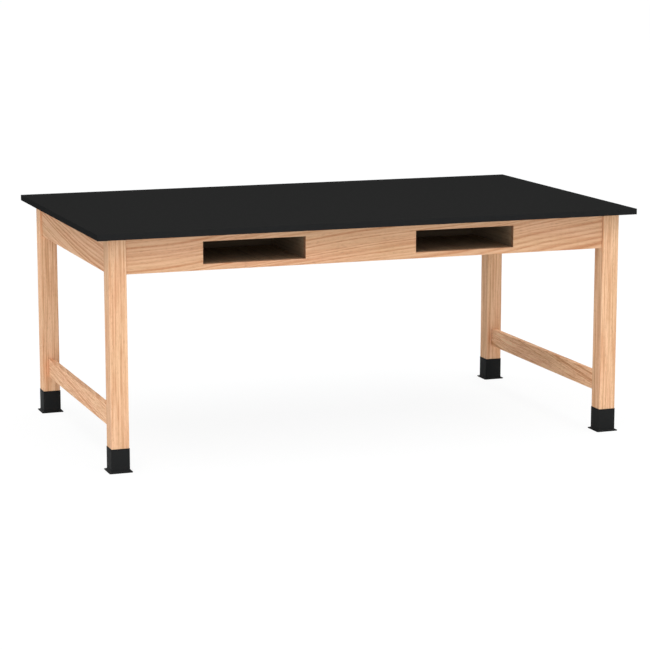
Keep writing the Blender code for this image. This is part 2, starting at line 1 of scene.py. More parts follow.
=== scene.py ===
"""Looks of the science lab table: finishes, finer hardware, wood screws, camera, light and floor."""
import logging
import math
from collections.abc import Callable
from dataclasses import dataclass, field, replace
from enum import Enum

import bpy
import numpy as np
from mathutils import Matrix, Vector


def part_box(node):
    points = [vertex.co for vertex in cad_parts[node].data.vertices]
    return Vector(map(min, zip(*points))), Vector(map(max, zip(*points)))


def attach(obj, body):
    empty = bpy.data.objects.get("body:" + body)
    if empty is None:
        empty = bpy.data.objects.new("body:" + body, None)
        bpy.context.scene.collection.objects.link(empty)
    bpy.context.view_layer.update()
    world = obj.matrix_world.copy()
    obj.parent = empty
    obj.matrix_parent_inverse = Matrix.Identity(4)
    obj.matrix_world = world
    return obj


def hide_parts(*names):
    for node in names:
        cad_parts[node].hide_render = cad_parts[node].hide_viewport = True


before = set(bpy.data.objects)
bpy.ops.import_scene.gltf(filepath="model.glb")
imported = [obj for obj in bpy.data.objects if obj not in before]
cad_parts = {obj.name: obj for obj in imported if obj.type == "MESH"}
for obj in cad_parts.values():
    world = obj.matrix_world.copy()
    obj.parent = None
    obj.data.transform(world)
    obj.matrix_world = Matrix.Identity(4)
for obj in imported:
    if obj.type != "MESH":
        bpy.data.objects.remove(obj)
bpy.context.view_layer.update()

LOG = logging.getLogger("lab_table")
TURN = 2 * math.pi
ROOT_TWO = math.sqrt(2)
# Rings in a turn of a thread, the steepness of its groove, and the share of it that the crest takes.
THREAD_STEPS, GROOVE_SLOPE, CREST_SHARE = 6, 1.25, 0.12
BEVEL_STEPS, BEVEL_DEGREES = 3, 40

Color = tuple[float, float, float, float]
Point = tuple[float, float, float]
Link = bpy.types.NodeSocket

CORNERS: dict[str, tuple[int, int]] = {
    "front_left": (-1, -1), "front_right": (1, -1), "rear_left": (-1, 1), "rear_right": (1, 1)}
SIDES = ("left", "right")
INWARD: dict[str, tuple[int, int]] = {"front": (0, 1), "rear": (0, -1), "left": (1, 0), "right": (-1, 0)}


def tint(*display: float) -> Color:
    """Linear colour of a display colour, by the sRGB curve.

    Args:
        *display: Red, green and blue, 0 to 255.

    Returns:
        The linear colour with full alpha.
    """
    shown = np.array(display) / 255
    linear = np.where(shown <= 0.04045, shown / 12.92, ((shown + 0.055) / 1.055) ** 2.4)
    return (*linear.tolist(), 1.0)


# Surfaces


@dataclass(frozen=True)
class Shell:
    """Closed surface as whole arrays: its points, its quads and its triangles."""

    points: np.ndarray
    quads: np.ndarray
    triangles: np.ndarray

    def placed(self, places: np.ndarray) -> "Shell":
        """Copies at places: each copy's points are its 4 x 4 matrix times the shell's points.

        Args:
            places: Matrices, shape (copies, 4, 4).

        Returns:
            One shell that holds all the copies.
        """
        count = len(self.points)
        points = np.einsum("nij,pj->npi", places[:, :3, :3], self.points) + places[:, None, :3, 3]
        shift = np.arange(len(places))[:, None, None] * count
        quads = (self.quads[None] + shift).reshape(-1, 4)
        triangles = (self.triangles[None] + shift).reshape(-1, 3)
        return Shell(points.reshape(-1, 3), quads, triangles)

    def object(self, name: str, smooth_degrees: float = 35) -> bpy.types.Object:
        """Blender object with this shell as its mesh, at the origin.

        Args:
            name: Name of the object and its mesh.
            smooth_degrees: Edges sharper than this stay sharp.

        Returns:
            The object, linked to the scene.
        """
        mesh = bpy.data.meshes.new(name)
        mesh.from_pydata(self.points.tolist(), [], self.quads.tolist() + self.triangles.tolist())
        mesh.shade_smooth()
        mesh.set_sharp_from_angle(angle=math.radians(smooth_degrees))
        mesh.update()
        made = bpy.data.objects.new(name, mesh)
        bpy.context.scene.collection.objects.link(made)
        return made


def angles(sides: int) -> np.ndarray:
    """Angles of a ring's points, evenly round a turn."""
    return np.linspace(0, TURN, sides, endpoint=False)


def hexagon_radius(across_flats: float, angle: np.ndarray) -> np.ndarray:
    """Radius of a hexagon: half its width across flats over the cosine of the angle off a flat's middle."""
    return across_flats / 2 / np.cos(angle % (math.pi / 3) - math.pi / 6)


def rounded_square(half: float, corner: float, steps: int) -> np.ndarray:
    """Ring of a square with round corners: each corner's centre plus its radius times (cos, sin).

    Args:
        half: Half the side.
        corner: Radius of the corners.
        steps: Steps in each corner.

    Returns:
        Points in the plane, shape (4 * steps + 4, 2).
    """
    quarter = np.arange(4)[:, None] * math.pi / 2
    angle = quarter + np.linspace(0, math.pi / 2, steps + 1)[None, :]
    reach = (half - corner) * ROOT_TWO
    x = reach * np.cos(quarter + math.pi / 4) + corner * np.cos(angle)
    y = reach * np.sin(quarter + math.pi / 4) + corner * np.sin(angle)
    return np.stack([x.ravel(), y.ravel()], axis=1)


def turned_rings(radii: np.ndarray, heights: np.ndarray) -> np.ndarray:
    """Rings about Z: the point at angle a is (r cos a, r sin a, z).

    Args:
        radii: Radius for each ring and angle, shape (rings, sides).
        heights: Height for each ring and angle, shape (rings, sides).

    Returns:
        Points, shape (rings, sides, 3).
    """
    angle = angles(radii.shape[1])[None, :]
    return np.stack([radii * np.cos(angle), radii * np.sin(angle), heights], axis=-1)


def profile_rings(profile: list[tuple[float, float]], sides: int) -> np.ndarray:
    """Rings of a turned piece: a profile of (radius, height) pairs carried round Z."""
    radii, heights = np.array(profile, float).T[:, :, None] * np.ones(sides)
    return turned_rings(radii, heights)


def thread_rings(radius: float, depth: float, pitch: float, low: float, high: float,
                 sides: int) -> np.ndarray:
    """Rings of a screw thread along Z.

    The radius at angle a and height z is the crest's radius less the depth times a V of the part turn
    z / pitch - a / 2 pi; the V fades out over one pitch at each end.

    Args:
        radius: Radius of the crest.
        depth: Depth of the root below the crest.
        pitch: Height of one turn.
        low: Height of the first ring.
        high: Height of the last ring.
        sides: Points in a ring.

    Returns:
        Points, shape (rings, sides, 3).
    """
    count = int(round((high - low) / pitch * THREAD_STEPS)) + 1
    height = np.linspace(low, high, count)[:, None] * np.ones((1, sides))
    part = (height / pitch - angles(sides)[None, :] / TURN) % 1
    groove = np.clip(GROOVE_SLOPE * (1 - np.abs(2 * part - 1)) - CREST_SHARE, 0, 1)
    fade = np.clip(np.minimum(height - low, high - height) / pitch, 0, 1)
    return turned_rings(radius - depth * groove * fade, height)


def hexagon_rings(across_flats: float, cuts: list[tuple[float, float]], sides: int) -> np.ndarray:
    """Rings of a hexagon cut by a cone, from pairs of the cone's share of half its width and a height."""
    shares, heights = np.array(cuts).T[:, :, None] * np.ones(sides)
    return turned_rings(np.minimum(hexagon_radius(across_flats, angles(sides)),
                                   across_flats / 2 * shares), heights)


def skin(rings: np.ndarray, joined: bool = False) -> Shell:
    """Closed shell of rings carried upwards, where the point of ring i at side j is number i * sides + j.

    Args:
        rings: Points, shape (rings, sides, 3), anticlockwise from above.
        joined: Whether the last ring joins the first. Otherwise fans to the end rings' middles close it.

    Returns:
        The shell.
    """
    count, sides = rings.shape[:2]
    points, here = rings.reshape(-1, 3), np.arange(sides)
    ring, side = np.meshgrid(np.arange(count if joined else count - 1), here, indexing="ij")
    after, ahead = (side + 1) % sides, (ring + 1) % count
    corners = [ring * sides + side, ring * sides + after, ahead * sides + after, ahead * sides + side]
    quads = np.stack(corners, axis=-1).reshape(-1, 4)
    if joined:
        return Shell(points, quads, np.zeros((0, 3), int))
    beyond, last, end = (here + 1) % sides, (count - 1) * sides, np.full(sides, count * sides)
    fans = [np.stack([beyond, here, end], axis=1), np.stack([here + last, beyond + last, end + 1], axis=1)]
    return Shell(np.concatenate([points, rings[[0, -1]].mean(axis=1)]), quads, np.concatenate(fans))


def laid_along(direction: Point, position: Point) -> np.ndarray:
    """Matrix that lays local +Z along a direction at a position."""
    turn = Vector(direction).to_track_quat("Z", "Y").to_matrix().to_4x4()
    return np.array(Matrix.Translation(position) @ turn)


# Shader graphs


class Graph:
    """Adds nodes to a shader tree, setting or linking their inputs in one call."""

    def __init__(self, tree: bpy.types.NodeTree) -> None:
        """Keep the tree that the nodes go into."""
        self.tree = tree

    def feed(self, socket: Link, value: object) -> None:
        """Link an output to an input socket, or set the socket to a value.

        Args:
            socket: The input socket.
            value: An output to link, or the value to set.
        """
        if isinstance(value, Link):
            self.tree.links.new(value, socket)
        else:
            socket.default_value = value

    def add(self, kind: str, values: dict | None = None, **settings: object) -> bpy.types.Node:
        """Add a node.

        Args:
            kind: Blender's node type.
            values: Inputs by name or number, each a value or an output to link.
            **settings: Attributes of the node.

        Returns:
            The node.
        """
        node = self.tree.nodes.new(kind)
        for key, setting in settings.items():
            setattr(node, key, setting)
        for key, value in (values or {}).items():
            self.feed(node.inputs[key], value)
        return node

    def math(self, operation: str, *values: object, clamp: bool = False) -> Link:
        """Result of a math node over the given values."""
        inputs = dict(enumerate(values))
        return self.add("ShaderNodeMath", inputs, operation=operation, use_clamp=clamp).outputs[0]

    def vector(self, operation: str, *values: object) -> Link:
        """Vector result of a vector math node over the given values."""
        inputs = dict(enumerate(values))
        return self.add("ShaderNodeVectorMath", inputs, operation=operation).outputs["Vector"]

    def triple(self, x: Link, y: Link, z: Link) -> Link:
        """Vector of three numbers."""
        return self.add("ShaderNodeCombineXYZ", {"X": x, "Y": y, "Z": z}).outputs[0]

    def swing(self, value: Link, reach: object) -> Link:
        """How far a value is from a half, times a reach."""
        return self.math("MULTIPLY", self.math("SUBTRACT", value, 0.5), reach)

    def blend(self, factor: Link, first: object, second: object) -> Link:
        """Colour between two colours by a factor."""
        return self.add("ShaderNodeMix", {0: factor, 6: first, 7: second}, data_type="RGBA").outputs[2]

    def between(self, value: Link, low: float, high: float, start: float = 0, end: float = 1) -> Link:
        """Smooth step of a value from low to high, giving start to end."""
        values = {"Value": value, "From Min": low, "From Max": high, "To Min": start, "To Max": end}
        return self.add("ShaderNodeMapRange", values, interpolation_type="SMOOTHSTEP").outputs["Result"]

    def noise(self, place: Link, size: Point, detail: float = 2, roughness: float = 0.5) -> Link:
        """Noise, nought to one, whose features have the given size in metres along each axis."""
        values = {"Scale": 1.0, "Detail": detail, "Roughness": roughness}
        values["Vector"] = self.vector("MULTIPLY", place, tuple(1 / length for length in size))
        return self.add("ShaderNodeTexNoise", values).outputs["Fac"]


class Socket(Enum):
    """Kinds of group sockets."""

    NUMBER = "NodeSocketFloat"
    COLOR = "NodeSocketColor"
    VECTOR = "NodeSocketVector"


FIGURE = {"Color": Socket.COLOR, "Roughness": Socket.NUMBER, "Height": Socket.NUMBER}
WOOD_COLORS = ("Light", "Dark", "Pore")
WOOD_NUMBERS = ("Seed", "Spacing", "Pith Across", "Pith Through", "Slope", "Bow", "Bow Length", "Bow Phase",
                "Wander", "Rings", "Streaks", "Streak Length", "Streak Width", "Pores", "Flecks", "Tone",
                "End Grain")

# Sizes in metres of the wood's noises: along, across and through the board.
WANDER_SIZE, DRIFT_SIZE, TONE_SIZE = (0.42, 0.12, 0.12), (0.5, 0.2, 0.2), (0.3, 0.05, 0.05)
RAGGED_SIZE, HAIR_SIZE = (0.05, 0.004, 0.004), (0.035, 0.0011, 0.0011)
PORE_SIZE, FLECK_SIZE = (0.016, 0.0006, 0.0006), (0.02, 0.0048, 0.0048)
UNIT = (1, 1, 1)
# Where each seed moves the noises, how ragged a ring's edge is, and how uneven the rings are.
SEED_STEP, RAGGED_REACH, RING_PACE, RING_SPREAD = (0.37, 0.61, 0.83), 0.0028, 0.45, 2.2
# Noise values between which each kind of mark comes in, and parts of a ring where its band does and goes.
STREAK_EDGES, HAIR_EDGES, PORE_EDGES, FLECK_EDGES = (0.38, 0.66), (0.35, 0.7), (0.58, 0.68), (0.5, 0.66)
BAND_COMES, BAND_GOES = (0.0, 0.22), (0.24, 0.85)
# Share of fine hairs in the streaks, and what end grain takes off the lightness.
HAIR_SHARE, END_GRAIN_SHADE = 0.25, 0.6
# Size of the blotches on a gritty surface, in grains.
BLOTCH = (23, 23, 23)
# How squarely a face looks along the grain or up, from where the mask starts to where it is full. Faces that
# look less upward get the worktop's painted side light.
END_GRAIN_FACING, TOP_FACING = (0.6, 0.9), (0.3, 0.9)


def new_group(name: str, colors: tuple[str, ...], numbers: tuple[str, ...]) -> tuple:
    """Start a shader node group with a Vector, colours and numbers going in and a figure coming out.

    Args:
        name: Name of the group.
        colors: Names of the colours.
        numbers: Names of the numbers.

    Returns:
        The group's graph, the outputs of its input node by name, and the inputs of its output node.
    """
    tree = bpy.data.node_groups.new(name, "ShaderNodeTree")
    inputs = {"Vector": Socket.VECTOR, **dict.fromkeys(colors, Socket.COLOR),
              **dict.fromkeys(numbers, Socket.NUMBER)}
    for way, sockets in (("INPUT", inputs), ("OUTPUT", FIGURE)):
        for label, kind in sockets.items():
            tree.interface.new_socket(name=label, in_out=way, socket_type=kind.value)
    graph = Graph(tree)
    return graph, graph.add("NodeGroupInput").outputs, graph.add("NodeGroupOutput").inputs


def wood_group() -> None:
    """Make the solid figure of a ring-porous wood: X along the grain, Y across, Z through the board.

    Growth rings are cylinders round the pith, whose distance is bent by a slope, a bow and a slow wander.
    Each ring starts with a darker band, of its own strength, and fades. Long streaks, short pores and ray
    flecks are noises drawn out along the grain, a slow noise shifts the tone along the board, and end
    grain is darker.
    """
    g, given, figure = new_group("wood_figure", WOOD_COLORS, WOOD_NUMBERS)
    seed = given["Seed"]
    seeded = g.vector("ADD", given["Vector"], g.vector("MULTIPLY", SEED_STEP, g.triple(seed, seed, seed)))
    place = g.add("ShaderNodeSeparateXYZ", {0: given["Vector"]}).outputs
    turn = g.math("DIVIDE", g.math("MULTIPLY", place["X"], TURN), given["Bow Length"])
    bow = g.math("MULTIPLY", g.math("SINE", g.math("ADD", turn, given["Bow Phase"])), given["Bow"])
    rise = g.math("ADD", g.math("MULTIPLY", place["X"], given["Slope"]), bow)
    wander = g.swing(g.noise(seeded, WANDER_SIZE, 1), given["Wander"])
    drift = g.swing(g.noise(seeded, DRIFT_SIZE, 1), given["Wander"])
    ragged = g.swing(g.noise(seeded, RAGGED_SIZE), RAGGED_REACH)
    across = g.math("SUBTRACT", g.math("SUBTRACT", place["Y"], given["Pith Across"]), rise)
    across = g.math("ADD", across, g.math("ADD", wander, ragged))
    through = g.math("ADD", g.math("SUBTRACT", place["Z"], given["Pith Through"]), drift)
    squares = g.math("ADD", g.math("MULTIPLY", across, across), g.math("MULTIPLY", through, through))
    even = g.math("DIVIDE", g.math("SQRT", squares), given["Spacing"])
    pace = g.math("ADD", g.math("MULTIPLY", even, RING_PACE), seed)
    uneven = g.add("ShaderNodeTexNoise", {"W": pace, "Scale": 1.0, "Detail": 1.0}, noise_dimensions="1D")
    phase = g.math("ADD", even, g.swing(uneven.outputs["Fac"], RING_SPREAD))
    ring, part = g.math("FLOOR", phase), g.math("FRACT", phase)
    own = g.add("ShaderNodeTexWhiteNoise", {"W": g.math("ADD", ring, seed)}, noise_dimensions="1D")
    early = g.math("MULTIPLY", g.between(part, *BAND_COMES), g.between(part, *BAND_GOES, 1, 0))
    band = g.math("MULTIPLY", early, g.math("MULTIPLY_ADD", own.outputs["Value"], 0.75, 0.25))
    width = given["Streak Width"]
    drawn = g.vector("DIVIDE", seeded, g.triple(given["Streak Length"], width, width))
    streak = g.between(g.noise(drawn, UNIT, 2, 0.55), *STREAK_EDGES)
    hair = g.between(g.noise(seeded, HAIR_SIZE), *HAIR_EDGES)
    pore = g.between(g.noise(seeded, PORE_SIZE, 1), *PORE_EDGES)
    fleck = g.between(g.noise(seeded, FLECK_SIZE), *FLECK_EDGES)
    tone = g.noise(seeded, TONE_SIZE)
    lines = g.math("MULTIPLY_ADD", hair, HAIR_SHARE, g.math("MULTIPLY", streak, 1 - HAIR_SHARE))
    lines = g.math("MULTIPLY", lines, given["Streaks"])
    shade = g.math("ADD", g.math("MULTIPLY", band, given["Rings"]), lines, clamp=True)
    color = g.blend(shade, given["Light"], given["Dark"])
    color = g.blend(g.math("MULTIPLY", fleck, given["Flecks"], clamp=True), color, given["Dark"])
    in_band = g.math("MULTIPLY", pore, g.math("MULTIPLY_ADD", early, 0.7, 0.3))
    color = g.blend(g.math("MULTIPLY", in_band, given["Pores"], clamp=True), color, given["Pore"])
    lightness = g.math("MULTIPLY", g.math("ADD", g.swing(tone, given["Tone"]), 1.0),
                       g.math("MULTIPLY_ADD", given["End Grain"], -END_GRAIN_SHADE, 1.0))
    hue = g.math("MULTIPLY_ADD", tone, -0.012, 0.506)
    toned = g.add("ShaderNodeHueSaturation", {"Hue": hue, "Value": lightness, "Color": color}).outputs[0]
    rough = g.math("ADD", g.math("MULTIPLY_ADD", in_band, 0.2, 0.56), g.math("MULTIPLY", hair, 0.06))
    deep = g.math("MULTIPLY_ADD", in_band, -1.0, g.math("MULTIPLY", hair, -0.3))
    for label, value in zip(FIGURE, (toned, rough, g.math("MULTIPLY_ADD", band, -0.25, deep))):
        g.feed(figure[label], value)


def grit_group() -> None:
    """Make the grain of a moulded, cast or plated surface: a fine and a coarse noise that mottle the base."""
    g, given, figure = new_group("surface_grit", ("Base",), ("Size", "Mottle", "Roughness", "Spread", "Lift"))
    size = given["Size"]
    sized = g.vector("DIVIDE", given["Vector"], g.triple(size, size, size))
    fine, coarse = g.noise(sized, UNIT, 3, 0.6), g.noise(sized, BLOTCH, 3, 0.6)
    both = g.math("SUBTRACT", g.math("ADD", fine, coarse), 1.0)
    # Lift carries painted light: it brightens faces that look less upward.
    lift = g.math("MULTIPLY", g.math("MULTIPLY_ADD", both, given["Mottle"], 1.0), given["Lift"])
    color = g.add("ShaderNodeHueSaturation", {"Value": lift, "Color": given["Base"]}).outputs[0]
    rough = g.math("ADD", g.swing(coarse, given["Spread"]), given["Roughness"], clamp=True)
    for label, value in zip(FIGURE, (color, rough, fine)):
        g.feed(figure[label], value)


# Finishes


class Run(Enum):
    """Way that a board's grain runs, as its along, across and through axes."""

    ALONG_X = ((1, 0, 0), (0, 0, 1), (0, -1, 0))
    ALONG_Y = ((0, 1, 0), (0, 0, 1), (1, 0, 0))
    UPWARDS = ((0, 0, 1), (1, 0, 0), (0, 1, 0))
    FLAT_Y = ((0, 1, 0), (1, 0, 0), (0, 0, -1))

    def turn(self) -> tuple[float, float, float]:
        """Euler angles of the axes, for a Mapping node."""
        return tuple(Matrix(self.value).transposed().to_euler("XYZ"))


def shaded(graph: Graph, finish: "WoodFinish | GritFinish", group: str, values: dict) -> None:
    """Feed a Principled shader from a group's colour, roughness and height.

    Args:
        graph: Graph of the material.
        finish: The finish. Its fields give the group's inputs of the same names.
        group: Name of the group.
        values: Its other inputs.
    """
    figure = graph.add("ShaderNodeGroup", node_tree=bpy.data.node_groups[group])
    for socket in figure.inputs:
        key = socket.name
        graph.feed(socket, values[key] if key in values else getattr(finish, key.lower().replace(" ", "_")))
    color, rough, height = (figure.outputs[label] for label in FIGURE)
    relief = {"Strength": finish.relief, "Distance": finish.depth, "Height": height}
    normal = graph.add("ShaderNodeBump", relief).outputs[0]
    shader = graph.add("ShaderNodeBsdfPrincipled", {
        "Base Color": color, "Roughness": rough, "Normal": normal,
        "Specular IOR Level": finish.specular, "Metallic": finish.metallic})
    graph.add("ShaderNodeOutputMaterial", {"Surface": shader.outputs[0]})


def new_material(name: str) -> tuple[bpy.types.Material, Graph]:
    """Empty node material with its graph."""
    material = bpy.data.materials.new(name)
    material.use_nodes = True
    material.node_tree.nodes.clear()
    return material, Graph(material.node_tree)


@dataclass(frozen=True)
class WoodFinish:
    """Clear-coated wood, cut from its own place in the tree."""

    light: Color
    dark: Color
    pore: Color
    spacing: float = 0.0095
    pith_across: float = -0.14
    pith_through: float = -0.06
    slope: float = 0.0
    bow: float = 0.0
    bow_length: float = 1.0
    bow_phase: float = 0.0
    wander: float = 0.012
    rings: float = 0.75
    streaks: float = 0.35
    streak_length: float = 0.2
    streak_width: float = 0.006
    pores: float = 0.6
    flecks: float = 0.12
    tone: float = 0.16
    seed: float = 0.0
    specular: float = 0.03
    metallic: float = 0.0
    relief: float = 0.35
    depth: float = 0.0002
    # Painted light and shade: a factor on the colours that makes lit and shaded copies of one wood.
    shade: float = 1.0
    run: Run = Run.ALONG_X

    def material(self, name: str, centre: Point) -> bpy.types.Material:
        """Material for one board.

        Args:
            name: Name of the material.
            centre: Middle of the board, where its pattern is centred.

        Returns:
            The material.
        """
        material, graph = new_material(name)
        surface = graph.add("ShaderNodeTexCoord").outputs
        pose = {"Vector": surface["Object"], "Location": centre, "Rotation": self.run.turn()}
        laid = graph.add("ShaderNodeMapping", pose, vector_type="TEXTURE").outputs[0]
        facing = graph.add("ShaderNodeVectorMath", {0: surface["Normal"], 1: self.run.value[0]},
                           operation="DOT_PRODUCT").outputs["Value"]
        squarely = graph.math("ABSOLUTE", facing)
        values = {"Vector": laid, "End Grain": graph.between(squarely, *END_GRAIN_FACING)}
        # The colours scaled by the shade factor, painted light and shade.
        for label in WOOD_COLORS:
            red, green, blue, _ = getattr(self, label.lower())
            values[label] = (self.shade * red, self.shade * green, self.shade * blue, 1.0)
        shaded(graph, self, "wood_figure", values)
        return material


@dataclass(frozen=True)
class GritFinish:
    """Moulded, cast or plated surface with a fine grain."""

    base: Color
    size: float
    mottle: float
    roughness: float
    spread: float
    specular: float = 0.5
    metallic: float = 0.0
    relief: float = 0.15
    depth: float = 0.0001
    # Painted light: faces that look less upward are brightened by this factor.
    side_lift: float = 1.0

    def material(self, name: str) -> bpy.types.Material:
        """Material of this finish, made on the first call.

        Args:
            name: Name of the material.

        Returns:
            The material.
        """
        if name in bpy.data.materials:
            return bpy.data.materials[name]
        material, graph = new_material(name)
        surface = graph.add("ShaderNodeTexCoord").outputs
        normal = graph.add("ShaderNodeSeparateXYZ", {0: surface["Normal"]}).outputs
        upward = graph.math("ABSOLUTE", normal["Z"])
        # Painted light: the sides brightened against the top.
        lift = graph.between(upward, *TOP_FACING, self.side_lift, 1.0)
        shaded(graph, self, "surface_grit", {"Vector": surface["Object"], "Lift": lift})
        return material


OAK = WoodFinish(tint(252, 207, 167), tint(212, 149, 108), tint(160, 102, 70))
OAK_APRON = replace(OAK, light=tint(254, 203, 162), dark=tint(217, 146, 102), streaks=0.25)
OAK_LEG = replace(OAK, run=Run.UPWARDS, wander=0.006, rings=0.4, streaks=0.75)
OAK_RAIL = replace(OAK, run=Run.ALONG_Y)
OAK_STRETCHER = replace(OAK_RAIL, spacing=0.009, wander=0.016, flecks=0.4, streaks=0.6, streak_length=0.1,
                        streak_width=0.005)
PLY = WoodFinish(tint(176, 149, 121), tint(142, 114, 90), tint(84, 64, 48), spacing=0.012, rings=0.5)
# The worktop's sides get painted light, brighter than its top.
WORKTOP_BLACK = GritFinish(tint(30, 30, 30), 0.0007, 0.3, 0.62, 0.12, specular=0.0, relief=0.25,
                           side_lift=1.33)
BOOT_RUBBER = GritFinish(tint(36, 36, 36), 0.0005, 0.2, 0.5, 0.12, specular=0.02, relief=0.12)
PAD_NYLON = GritFinish(tint(58, 58, 58), 0.0006, 0.1, 0.5, 0.1, specular=0.3)
ZINC = GritFinish(tint(196, 199, 204), 0.0012, 0.12, 0.32, 0.16, metallic=1.0, relief=0.08)
BRASS = GritFinish(tint(214, 176, 96), 0.0008, 0.1, 0.3, 0.12, metallic=1.0, relief=0.08)


# Sub-assemblies


def dress(node: str, material: bpy.types.Material) -> None:
    """Give a CAD node's material slots a finish."""
    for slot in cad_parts[node].material_slots:
        slot.material = material


def fit(piece: bpy.types.Object, body: str, slot: str, material: bpy.types.Material, *nodes: str) -> None:
    """Finish a new piece: its material, the body it rides on and the nodes it stands for.

    Args:
        piece: The new piece, in place.
        body: CAD body that it rides on.
        slot: Not used.
        material: Its finish.
        *nodes: CAD nodes that it stands for.
    """
    piece.data.materials.append(material)
    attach(piece, body)
    if nodes:
        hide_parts(*nodes)
    LOG.info("%s made with %d points, on %s", piece.name, len(piece.data.vertices), body)


def middle(node: str) -> Point:
    """Middle of a CAD node's box."""
    low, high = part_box(node)
    return tuple((low + high) / 2)


def leg_corner(name: str) -> tuple[float, float]:
    """Outer corner of a leg, as x and y."""
    ends = dict(zip((-1, 1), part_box(f"leg_{name}")))
    return tuple(ends[side][axis] for axis, side in enumerate(CORNERS[name]))


def standing(node: str, name: str, shape: Callable[[float], Shell],
             smooth_degrees: float) -> bpy.types.Object:
    """Piece as tall as a CAD node's box, on the middle of the box's foot.

    Args:
        node: Name of the CAD node.
        name: Name of the piece.
        shape: Makes the shell for a height, with its foot on the origin.
        smooth_degrees: Edges sharper than this stay sharp.

    Returns:
        The piece.
    """
    low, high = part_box(node)
    place = np.eye(4)
    place[:3, 3] = ((low.x + high.x) / 2, (low.y + high.y) / 2, low.z)
    return shape(high.z - low.z).placed(place[None]).object(name, smooth_degrees)


def eased_plate(node: str, name: str, width: float) -> None:
    """Make a steel plate in place of its CAD node, its loose triangles joined and its edges eased.

    Args:
        node: Name of the CAD node.
        name: Name of the piece.
        width: Width of the bevel that eases the edges.
    """
    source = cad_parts[node].data
    points = np.zeros(len(source.vertices) * 3)
    source.vertices.foreach_get("co", points)
    corners = np.zeros(len(source.loops), int)
    source.loops.foreach_get("vertex_index", corners)
    unique, place = np.unique(points.reshape(-1, 3).round(7), axis=0, return_inverse=True)
    faces = place.reshape(-1)[corners].reshape(-1, 3)
    whole = (faces != np.roll(faces, 1, axis=1)).all(axis=1)
    piece = Shell(unique, np.zeros((0, 4), int), faces[whole]).object(name, 30)
    bevel = piece.modifiers.new("worn_edges", "BEVEL")
    bevel.width = width
    bevel.segments = BEVEL_STEPS
    bevel.limit_method = "ANGLE"
    bevel.angle_limit = math.radians(BEVEL_DEGREES)
    bevel.harden_normals = True
    fit(piece, "table", "zinc_steel", ZINC.material("zinc_plate"), node)


@dataclass
class Worktop:
    """Black slab."""

    finish: GritFinish = WORKTOP_BLACK

    def build(self) -> None:
        """Dress the slab."""
        dress("worktop", self.finish.material("worktop_black_resin"))


@dataclass
class OakFrame:
    """Legs, aprons, stretchers, cross rail and cleats, each board with its own figure."""

    # Each board's shade is painted light and shade: the aprons darkened as shade under the worktop, the
    # stretchers and the rear-left leg lightened as light under the table, the other legs a little darker.
    boards: dict[str, WoodFinish] = field(default_factory=lambda: {
        "front_apron": replace(
            OAK_APRON, seed=1.0, shade=0.82, slope=0.115, bow=0.008, bow_length=0.9, bow_phase=2.6,
            spacing=0.0115, pith_across=-0.16, pith_through=-0.05, wander=0.024, rings=0.72, streaks=0.3),
        "rear_apron": replace(
            OAK_APRON, seed=2.3, shade=0.84, slope=-0.06, bow=0.008, bow_length=1.3, spacing=0.013,
            pith_through=0.07),
        "left_apron": replace(
            OAK_APRON, run=Run.ALONG_Y, seed=3.1, shade=0.9, slope=0.085, bow=0.012, bow_length=1.7,
            bow_phase=-1.2, spacing=0.0125, pith_across=-0.15, pith_through=0.06, wander=0.02, rings=0.8),
        "right_apron": replace(
            OAK_APRON, run=Run.ALONG_Y, seed=4.7, shade=0.88, slope=-0.05, spacing=0.012,
            pith_through=-0.07, wander=0.02),
        "left_stretcher": replace(
            OAK_STRETCHER, seed=48.3, shade=1.08, slope=0.1, pith_across=-0.1, rings=0.68),
        "right_stretcher": replace(
            OAK_STRETCHER, seed=6.4, shade=1.13, slope=0.11, pith_across=0.12),
        "leg_front_left": replace(
            OAK_LEG, seed=7.7, shade=0.95, slope=0.012, spacing=0.006, pith_across=-0.3, pith_through=-0.22),
        "leg_front_right": replace(
            OAK_LEG, seed=31.9, shade=0.97, slope=-0.01, spacing=0.0062, pith_across=0.28, pith_through=-0.2),
        "leg_rear_left": replace(
            OAK_LEG, seed=41.6, shade=1.06, slope=0.006, spacing=0.0058, pith_across=-0.3, pith_through=0.2),
        "leg_rear_right": replace(
            OAK_LEG, seed=11.3, shade=0.97, slope=0.01, spacing=0.006, pith_across=0.3, pith_through=0.25),
        "cross_rail": replace(OAK_RAIL, seed=12.6, slope=0.03),
        "left_compartment_left_cleat": replace(OAK_RAIL, seed=13.2, slope=0.02),
        "left_compartment_right_cleat": replace(OAK_RAIL, seed=14.1, slope=-0.02),
        "right_compartment_left_cleat": replace(OAK_RAIL, seed=15.4, slope=0.03),
        "right_compartment_right_cleat": replace(OAK_RAIL, seed=16.9, slope=0.01),
    })

    def build(self) -> None:
        """Dress each board, its figure centred on it."""
        for node, finish in self.boards.items():
            dress(node, finish.material(f"oak_{node}", middle(node)))


@dataclass
class BookCompartments:
    """Floors, backs and sides of the two compartments, each with its way of the grain and a brightness that
    paints the light and shade inside them.
    """

    # Painted light and shade: the back darkened and the sides dimmed as shade inside the compartment, the
    # floor lightened.
    panels: dict[str, tuple[Run, float]] = field(default_factory=lambda: {
        "floor": (Run.FLAT_Y, 1.28), "back": (Run.ALONG_X, 0.33),
        "left_side": (Run.ALONG_Y, 0.7), "right_side": (Run.ALONG_Y, 0.7)})
    first_seed: float = 20.0
    seed_step: float = 1.7

    def build(self) -> None:
        """Dress each panel, with a seed one step on from the last."""
        seed = self.first_seed
        for side in SIDES:
            for panel, (run, shade) in self.panels.items():
                node = f"{side}_compartment_{panel}"
                seed += self.seed_step
                # The panel's shade paints light and shade on one ply.
                finish = replace(PLY, run=run, shade=shade, seed=seed)
                dress(node, finish.material(f"ply_{node}", middle(node)))


